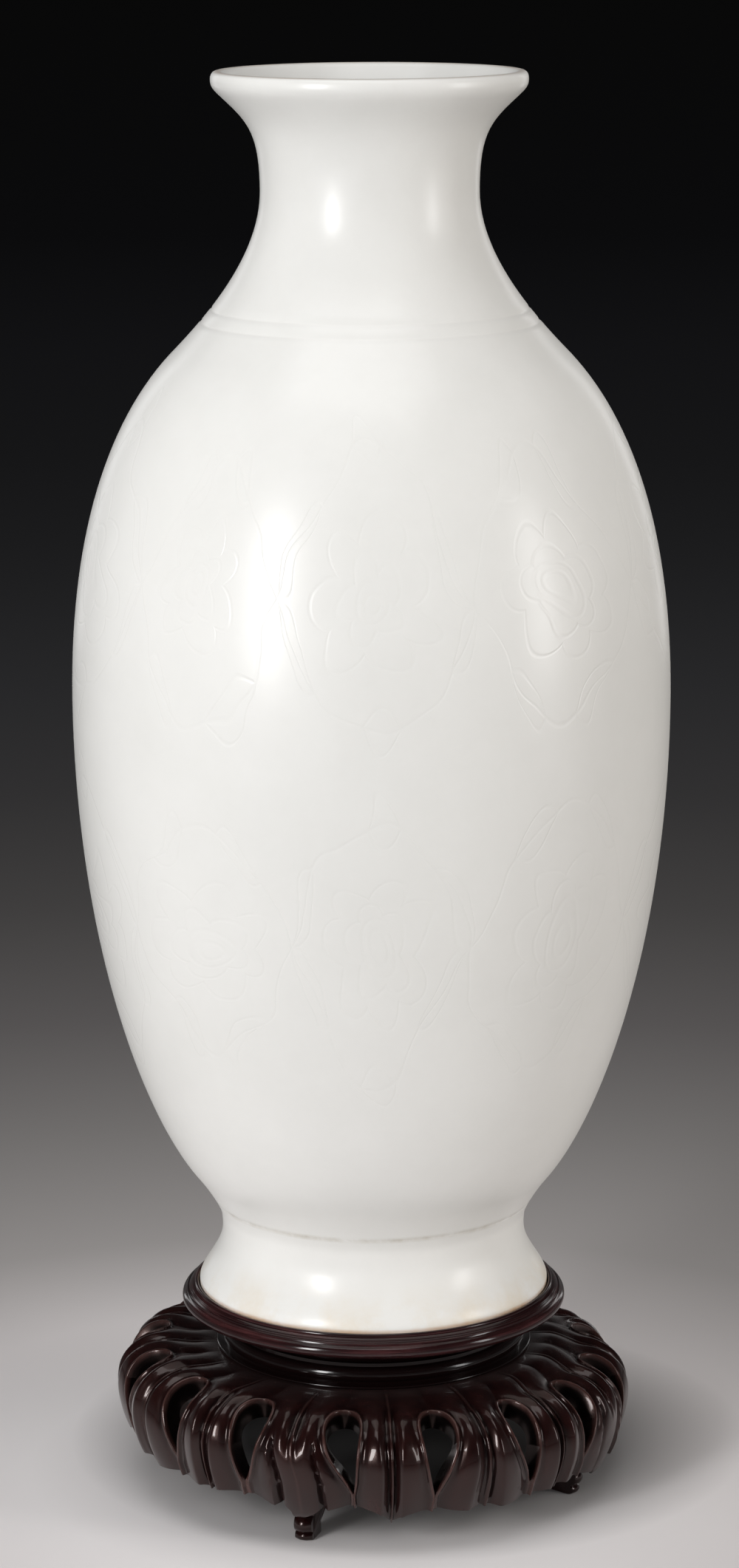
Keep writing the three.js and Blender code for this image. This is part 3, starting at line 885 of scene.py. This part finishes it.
def carving(lobe_share, share, radius):
    """Depth of carving in millimetres, outwards above nought, and how far an edge is rubbed
    lighter, a share that is partly wear and partly a painted highlight line.
    """
    from_vein = abs(lobe_share - round(lobe_share)) * LOBE_ANGLE * radius
    from_seam = (0.5 - abs(lobe_share - round(lobe_share))) * LOBE_ANGLE * radius
    down = share * LEAF_LENGTH
    from_rim = rim_distance(Vector((from_seam, down)))
    if share > TEARDROP_POINT:
        from_rim = min(from_rim, from_seam)
    half_lobe = math.floor(2 * lobe_share)
    by_hand = 0.5 * math.sin(2.4 * half_lobe + 0.7)  # each half lobe a little different
    crest_place = CREST_PLACE + by_hand + 0.6 * smooth(share, 0.6, 0.9)
    fold = smooth(share, 0.2, 0.42)
    low = smooth(share, 0.55, 0.85)
    hem = 1 - smooth(share, 0.84, 0.93)
    side = from_vein - crest_place
    roll_width = 1.5 if side < 0 else 3.0 + 3.5 * low
    roll = ROLL_HEIGHT * math.exp(-((abs(side) / roll_width) ** 1.4))
    trough = -(TROUGH_DEPTH + 0.4 * low) * hem * bump(from_vein - TROUGH_PLACE, 0.65)
    hollow_depth = HOLLOW_DEPTH - 0.2 * low + 0.4 * by_hand
    hollow = -hollow_depth * hem * bump(from_rim - HOLLOW_PLACE, 1.0)
    vein = (0.35 + 0.6 * fold) * bead(from_vein, VEIN_HALF_WIDTH)
    veined = smooth(share, 0.02, 0.12)
    rim_fade = smooth(share, 0.2, 0.27)
    rim_place = 0.5 + 0.15 * smooth(share, TEARDROP_POINT - 0.03, TEARDROP_POINT)
    rim = RIM_HEIGHT * bead(from_rim - rim_place, RIM_HALF_WIDTH)
    swell = SWELL_HEIGHT * smooth(share, 0.0, 0.14)
    swell *= math.sin(math.pi * min(from_vein / 12.0, 1.0))
    relief = veined * vein + swell + fold * (roll + trough + hollow) + rim_fade * rim
    # The rims and veins get a lighter edge line, partly wear and partly a painted highlight.
    edge = max(rim_fade * bead(from_rim - 0.42, 0.5), 0.4 * veined * bead(from_vein, 0.4))
    if abs(lobe_share) < 0.4:
        leg = smooth(share, 0.42, 0.66)
        half_leg = LEG_HALF_WIDTH - 0.8 * low
        leg_roll = LEG_HEIGHT * bead(from_vein, half_leg) + 0.1
        leg_roll -= 1.0 * bump(from_vein - half_leg - 0.4, 0.7)
        blend = leg * (1 - smooth(from_vein, half_leg + 0.5, half_leg + 2.2))
        relief += (leg_roll - relief) * blend
    # At a seam the edge of an odd lobe lies proud, and its even neighbour dives under it
    under = -from_seam if round(lobe_share) % 2 else from_seam
    meeting = smooth(share, 0.6, 0.8)
    if under < 0:
        relief += LAP_HEIGHT * meeting * math.exp(under / 2.0)
    else:
        relief -= LAP_DEPTH * meeting * math.exp(-under / 1.8) * smooth(under, 0.0, 0.6)
    return relief, edge


# The lobes in the pattern lie evenly. By hand, the seams run down towards the odd lobes, and
# the even lobes hang lower, round their corners and have blunter tips.
TIP_SIZES = {-2: 0.12, -1: 0.3, 0: 1.0, 1: 1.0, 2: 0.12}

leaf_mesh = pattern.copy()
relief = leaf_mesh.verts.layers.float.new("relief")
unseen = leaf_mesh.verts.layers.float.new("inside")
edge_wear_and_painted_highlight = leaf_mesh.verts.layers.float.new("edge")
for vert in leaf_mesh.verts:
    lobe_share, share, depth = vert.co
    inside = depth < outer_level - 0.5
    lobe = round(lobe_share)
    even = (1 + math.cos(math.pi * lobe_share)) / 2
    if share > SCALLOP_SHARE:
        share = SCALLOP_SHARE + (share - SCALLOP_SHARE) * TIP_SIZES[lobe]
    placed = share + 0.03 * even * smooth(share, 0.7, 0.88)
    radius, height, out_r, out_z = leaf_place(placed)
    if inside:
        move = EDGE_THINNING * smooth(share, TEARDROP_POINT - 0.15, 1.0) - LEAF_THICKNESS
        vert[unseen] = 1.0
    else:
        move, vert[edge_wear_and_painted_highlight] = carving(lobe_share, share, radius)
        move -= 0.35 * smooth(share, 0.93, 1.0)
        vert[relief] = move
    at_seam = abs(abs(lobe_share) - 2) < 1e-4
    slant = 0.075 * math.sin(math.pi * lobe_share) * smooth(share, 0.45, 0.86)
    angle = (lobe_share + slant) * LOBE_ANGLE
    if at_seam:
        angle -= math.copysign(SEAM_GAP / radius, lobe_share)
    radius += out_r * move
    height += out_z * move
    vert.co = (radius * math.cos(angle), radius * math.sin(angle), height)
bmesh.ops.recalc_face_normals(leaf_mesh, faces=leaf_mesh.faces[:])
pattern.free()

# The foot's side outline, as radius and height, from the heel round the rolled toe and up
foot_outline = [
    (62.4, 0.0),
    (70.4, 0.0),
    *arc_points((71.0, 1.35), 1.35, -70, 80, 6),
    (71.7, 2.75),
    *arc_points((71.0, 5.3), 2.5, -70, 100, 10),
    (70.2, 8.5),
    (70.6, 9.6),
    (72.4, 10.9),
    (75.4, 12.2),
    (77.6, 14.0),
    (79.3, 17.0),
    (79.6, 20.5),
    (76.0, 24.0),
    (70.0, 24.5),
    (66.0, 19.0),
    (63.6, 11.0),
    (62.6, 4.0),
]
FOOT_WIDTH = 6.0
foot = bmesh.new()
side_face = foot.faces.new([foot.verts.new((r, -FOOT_WIDTH / 2, z)) for r, z in foot_outline])
grown = bmesh.ops.extrude_face_region(foot, geom=[side_face], use_keep_orig=True)
moved = [item for item in grown["geom"] if isinstance(item, bmesh.types.BMVert)]
bmesh.ops.translate(foot, vec=(0, FOOT_WIDTH, 0), verts=moved)
bmesh.ops.recalc_face_normals(foot, faces=foot.faces[:])
rims = [edge for edge in foot.edges if any(len(face.verts) > 4 for face in edge.link_faces)]
bmesh.ops.bevel(
    foot,
    geom=rims,
    affect="EDGES",
    offset=0.8,
    segments=3,
    profile=0.5,
    material=-1,
    clamp_overlap=True,
)
for level in (-1.1, 0.0, 1.1):
    bmesh.ops.bisect_plane(
        foot,
        geom=foot.verts[:] + foot.edges[:] + foot.faces[:],
        dist=1e-5,
        plane_co=(0, level, 0),
        plane_no=(0, 1, 0),
    )
for vert in foot.verts:
    across = abs(vert.co.y) / (FOOT_WIDTH / 2)
    vert.co.x -= 1.3 * across**2.5 * smooth(vert.co.x, 66.0, 70.0)
    vert.co.y *= 1 + 0.65 * smooth(vert.co.z, 7.5, 11.5) + 0.3 * smooth(vert.co.z, 11.0, 20.0)

# Polished blackwood again, for carved work: the grain runs down the lobes, and the raised veins
# and rims are rubbed redder than the hollows. A lighter line along the rims and veins is partly
# wear and partly a painted highlight, and the inner faces are painted near black as shade.
carved_wood, tree = new_material("waxed blackwood, carved")
place = add_node(tree, "ShaderNodeTexCoord")
stretch = add_node(
    tree, "ShaderNodeMapping", {"Vector": place.outputs["Object"]}, i_Scale=(260.0, 260.0, 40.0)
)
grain = add_node(
    tree,
    "ShaderNodeTexNoise",
    {"Vector": stretch.outputs["Vector"]},
    i_Scale=1.0,
    i_Detail=4.0,
    i_Roughness=0.6,
)
grain_ramp = add_node(tree, "ShaderNodeValToRGB", {"Fac": grain.outputs["Fac"]})
set_stops(
    grain_ramp,
    [(0.3, colour("#090304")), (0.55, colour("#130505")), (0.8, colour("#200B0B"))],
)
height = add_node(tree, "ShaderNodeAttribute", attribute_name="relief")
wear_and_painted_shade = add_node(
    tree,
    "ShaderNodeMapRange",
    {"Value": height.outputs["Fac"]},
    i_From_Min=0.25,
    i_From_Max=1.1,
    i_To_Max=0.12,
)
worn = add_node(
    tree,
    "ShaderNodeMix",
    {0: wear_and_painted_shade.outputs["Result"], 6: grain_ramp.outputs["Color"]},
    data_type="RGBA",
    i_7=colour("#3C2220"),
)
# Lighter line on rims and veins: partly wear, partly a painted highlight standing in for the light
# they catch.
edge = add_node(tree, "ShaderNodeAttribute", attribute_name="edge")
edge_wear_and_highlight_share = add_node(
    tree, "ShaderNodeMath", {0: edge.outputs["Fac"], 1: grain.outputs["Fac"]}, operation="MULTIPLY"
)
edged = add_node(
    tree,
    "ShaderNodeMix",
    {0: edge_wear_and_highlight_share.outputs[0], 6: worn.outputs[2]},
    data_type="RGBA",
    i_7=colour("#4C3430"),
)
# The inner faces are painted near black as shade, and they have no coat.
inside = add_node(tree, "ShaderNodeAttribute", attribute_name="inside")
unpolished_and_painted_shade = add_node(
    tree, "ShaderNodeMapRange", {"Value": inside.outputs["Fac"]}, i_From_Min=0.05, i_From_Max=0.25
)
inside_painted_shade = add_node(
    tree,
    "ShaderNodeMix",
    {0: unpolished_and_painted_shade.outputs["Result"], 6: edged.outputs[2]},
    data_type="RGBA",
    i_7=colour("#030202"),
)
grain_bump = add_node(
    tree, "ShaderNodeBump", {"Height": grain.outputs["Fac"]}, i_Strength=0.04, i_Distance=0.0002
)
wax = add_node(
    tree, "ShaderNodeMapRange", {"Value": grain.outputs["Fac"]}, i_To_Min=0.18, i_To_Max=0.32
)
coat = add_node(
    tree, "ShaderNodeMapRange", {"Value": unpolished_and_painted_shade.outputs["Result"]}, i_To_Min=0.5, i_To_Max=0.0
)
wood_shader = add_node(
    tree,
    "ShaderNodeBsdfPrincipled",
    {
        "Base Color": inside_painted_shade.outputs[2],
        "Roughness": wax.outputs["Result"],
        "Coat Weight": coat.outputs["Result"],
        "Normal": grain_bump.outputs["Normal"],
    },
    i_IOR=1.5,
    i_Specular_IOR_Level=0.36,
    i_Specular_Tint=colour("#F0CFC8"),
    i_Sheen_Weight=0.06,
    i_Sheen_Roughness=0.4,
    i_Sheen_Tint=colour("#B89A98"),
    i_Coat_Roughness=0.05,
)
add_node(tree, "ShaderNodeOutputMaterial", {"Surface": wood_shader.outputs["BSDF"]})

foot_mesh = bpy.data.meshes.new("scroll_foot")
foot.to_mesh(foot_mesh)
foot.free()
leaf_mesh.from_mesh(foot_mesh)

# Each sector was cut and glued on by hand: a slow noise shifts its surface by some tenths of a
# millimetre, its lower edge wanders, its lobes and its leg lean, and the whole leaf tilts.
LEANS = [math.radians(angle) for angle in (0.5, -1.0, 0.0, -3.0)]
LEG_LEANS = [math.radians(angle) for angle in (0.4, -0.6, 1.7, -0.8)]
HIGH_SIDE = Vector((-0.895, 0.446))
LEAF_TILT = 2.4  # at the rim of the high side, and as much down opposite
TILT_RADIUS = 80.0
EDGE_WANDER = 1.3
SURFACE_WANDER = 0.35
noise.seed_set(2)  # noise_vector starts from the clock otherwise
for number in range(4):
    sector = leaf_mesh.copy()
    leg_angle = math.radians(45 + 90 * number)
    turn = Matrix.Rotation(leg_angle, 3, "Z")
    bmesh.ops.rotate(sector, cent=(0, 0, 0), matrix=turn, verts=sector.verts[:])
    for vert in sector.verts:
        across = math.atan2(vert.co.y, vert.co.x)
        from_leg = math.remainder(across - leg_angle, 2 * math.pi)
        low = smooth(28.0 - vert.co.z, 0.0, 14.0) * smooth(abs(from_leg), 0.05, 0.14)
        drift = noise.noise_vector(vert.co * 0.045) * SURFACE_WANDER
        drift.z *= smooth(abs(vert.co.z - LEAF_TOP), 0.0, 12.0) * smooth(vert.co.z, 8.0, 14.0)
        drift.z += EDGE_WANDER * low * noise.noise(Vector((across * 4.5, 3.1 * number, 0.5)))
        tilt = LEAF_TILT * vert.co.xy.dot(HIGH_SIDE) / TILT_RADIUS
        drift.z += tilt * smooth(vert.co.z, 6.0, 11.0)
        out = smooth(vert.co.xy.length, 58.0, 70.0)
        vert.co += drift * out
        lean = LEANS[number] * math.cos(from_leg * 2) * out
        on_leg = smooth(vert.co.z, 9.0, 13.0) * smooth(0.3 - abs(from_leg), 0.0, 0.14)
        lean += LEG_LEANS[number] * on_leg * smooth(36.0 - vert.co.z, 0.0, 14.0)
        turn = Matrix.Rotation(lean, 3, "Z")
        vert.co = turn @ vert.co
    piece = finished(sector, f"carved_sector_{number + 1}", carved_wood, 45)
    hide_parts(f"apron_sector_{number + 1}")
    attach(piece, "stand")
leaf_mesh.free()


# The studio: a pale paper floor whose colour is painted darker with distance, as light falling off
# into the dark, and painted darker round the stand as its shadow; two soft lamps either side of
# the camera, broad fills that the gloss doesn't show, two narrow strips behind, a soft even light
# from all round, and grey walls that show only in the gloss.
CAMERA_TURN = -26.5
FLOOR_RADIUS = 30000

floor_mesh = bmesh.new()
bmesh.ops.create_circle(floor_mesh, cap_ends=True, radius=FLOOR_RADIUS, segments=96)
paper, tree = new_material("pale paper sweep")
place = add_node(tree, "ShaderNodeTexCoord")
# The floor colour is painted darker with distance from a point a little left of the stand, as
# painted fall-off of light.
off_centre = add_node(
    tree,
    "ShaderNodeVectorMath",
    {0: place.outputs["Object"]},
    operation="SUBTRACT",
    i_1=(-0.0135, 0.0065, 0.0),
)
away = add_node(tree, "ShaderNodeVectorMath", {0: off_centre.outputs[0]}, operation="LENGTH")
far = add_node(tree, "ShaderNodeMath", {0: away.outputs["Value"]}, operation="LOGARITHM", i_1=10.0)
far_share = add_node(
    tree, "ShaderNodeMapRange", {"Value": far.outputs[0]}, i_From_Min=-1.0, i_From_Max=1.1
)
painted_light_fall_off = add_node(tree, "ShaderNodeValToRGB", {"Fac": far_share.outputs["Result"]})
set_stops(
    painted_light_fall_off,
    [
        (0.0, colour("#F3EFEF")),
        (0.1, colour("#DED9D9")),
        (0.187, colour("#ACA8A7")),
        (0.286, colour("#8C8988")),
        (0.361, colour("#6F6C6C")),
        (0.427, colour("#595757")),
        (0.487, colour("#494849")),
        (0.543, colour("#404042")),
        (0.6, colour("#38383A")),
        (0.657, colour("#313133")),
        (0.717, colour("#2D2D30")),
        (0.787, colour("#222224")),
        (0.867, colour("#202021")),
        (1.0, colour("#1E1E1E")),
    ],
)
# A painted shadow: the floor colour is painted near black round the stand, centred a little behind
# it as seen from the camera.
behind = add_node(
    tree,
    "ShaderNodeVectorMath",
    {0: place.outputs["Object"]},
    operation="SUBTRACT",
    i_1=(0.024, 0.021, 0.0),
)
from_shade = add_node(tree, "ShaderNodeVectorMath", {0: behind.outputs[0]}, operation="LENGTH")
under = add_node(
    tree,
    "ShaderNodeMapRange",
    {"Value": from_shade.outputs["Value"]},
    i_From_Min=0.055,
    i_From_Max=0.115,
    i_To_Min=0.1,
)
shaded = add_node(
    tree,
    "ShaderNodeMix",
    {0: under.outputs["Result"], 7: painted_light_fall_off.outputs["Color"]},
    data_type="RGBA",
    i_6=colour("#000000"),
)
floor_shader = add_node(tree, "ShaderNodeBsdfDiffuse", {"Color": shaded.outputs[2]})
add_node(tree, "ShaderNodeOutputMaterial", {"Surface": floor_shader.outputs["BSDF"]})
floor = finished(floor_mesh, "paper_floor", paper)

world = bpy.data.worlds.new("dark studio with soft light")
bpy.context.scene.world = world
world.use_nodes = True
tree = world.node_tree
tree.nodes.clear()
rays = add_node(tree, "ShaderNodeLightPath")
shiny = add_node(
    tree,
    "ShaderNodeMath",
    {0: rays.outputs["Is Camera Ray"], 1: rays.outputs["Is Glossy Ray"]},
    operation="MAXIMUM",
)
seen = add_node(
    tree,
    "ShaderNodeMath",
    {0: shiny.outputs[0], 1: rays.outputs["Is Transmission Ray"]},
    operation="MAXIMUM",
)
soft_light = add_node(tree, "ShaderNodeBackground", i_Color=colour("#FFFFFF"), i_Strength=0.2)
view = add_node(tree, "ShaderNodeTexCoord")
direction = add_node(tree, "ShaderNodeSeparateXYZ", {0: view.outputs["Generated"]})
glow = add_node(
    tree,
    "ShaderNodeMapRange",
    {"Value": direction.outputs["Z"]},
    i_From_Max=0.4,
    i_To_Min=0.18,
    i_To_Max=0.0,
)
walls = add_node(
    tree,
    "ShaderNodeMath",
    {0: glow.outputs["Result"], 1: rays.outputs["Is Glossy Ray"]},
    operation="MULTIPLY_ADD",
    i_2=0.008,
)
dark_studio = add_node(
    tree, "ShaderNodeBackground", {"Strength": walls.outputs[0]}, i_Color=colour("#FFFFFF")
)
mixed = add_node(
    tree,
    "ShaderNodeMixShader",
    {0: seen.outputs[0], 1: soft_light.outputs[0], 2: dark_studio.outputs[0]},
)
add_node(tree, "ShaderNodeOutputWorld", {"Surface": mixed.outputs[0]})


def soft_box(name, azimuth, height, distance, size, power, aim=0.27, seen=True, tint="#FFFFFF"):
    """A lamp at an azimuth from the camera's side of the object, facing the vase."""
    data = bpy.data.lights.new(name, "AREA")
    data.shape = "RECTANGLE"
    data.size, data.size_y = size
    data.energy = power
    data.color = colour(tint)[:3]
    lamp = bpy.data.objects.new(name, data)
    turn = math.radians(CAMERA_TURN + azimuth)
    lamp.location = (distance * math.sin(turn), -distance * math.cos(turn), height)
    facing = Vector((0, 0, aim)) - lamp.location
    lamp.rotation_euler = facing.to_track_quat("-Z", "Y").to_euler()
    lamp.visible_camera = False
    lamp.visible_glossy = seen
    bpy.context.scene.collection.objects.link(lamp)


# Each lamp: azimuth in degrees, height and distance in metres, size, watts, height it aims at
soft_box("left_softbox", -38.5, 0.66, 1.7, (0.28, 0.8), 13.4)
soft_box("right_softbox", 68, 0.60, 1.8, (0.3, 0.85), 5)
soft_box("front_fill", -42, 0.48, 1.7, (1.2, 1.2), 7.8, seen=False)
soft_box("right_fill", 78, 0.32, 1.7, (1.2, 1.2), 15.6, seen=False, tint="#FFF9F2")
soft_box("low_fill", -38, 0.17, 1.7, (1.6, 0.3), 5.4, 0.12, seen=False)
soft_box("top_fill", -20, 1.8, 0.3, (1.3, 0.9), 6.8, 0.1)
soft_box("left_strip", -150, 0.40, 1.8, (0.14, 1.2), 0.9)
soft_box("right_strip", 150, 0.40, 1.8, (0.14, 1.2), 0.9)

# The camera stands 1.4 m from the axis and looks 12.3 degrees down, as the photograph's did
CAMERA_DISTANCE = 1.4
CAMERA_HEIGHT = 0.5375
CAMERA_DIP = math.radians(12.29)
CAMERA_PAN = math.radians(0.03)
CAMERA_ROLL = math.radians(-0.2)
camera_data = bpy.data.cameras.new("camera")
camera_data.lens = 101.8
camera_data.sensor_width = 36.0
camera = bpy.data.objects.new("camera", camera_data)
turn = math.radians(CAMERA_TURN)
camera.location = (
    CAMERA_DISTANCE * math.sin(turn),
    -CAMERA_DISTANCE * math.cos(turn),
    CAMERA_HEIGHT,
)
facing = Euler((math.radians(90) - CAMERA_DIP, 0, turn + CAMERA_PAN)).to_matrix()
roll = Matrix.Rotation(CAMERA_ROLL, 3, "Z")
camera.rotation_euler = (facing @ roll).to_euler()
bpy.context.scene.collection.objects.link(camera)
bpy.context.scene.camera = camera
bpy.context.scene.view_settings.view_transform = "Standard"
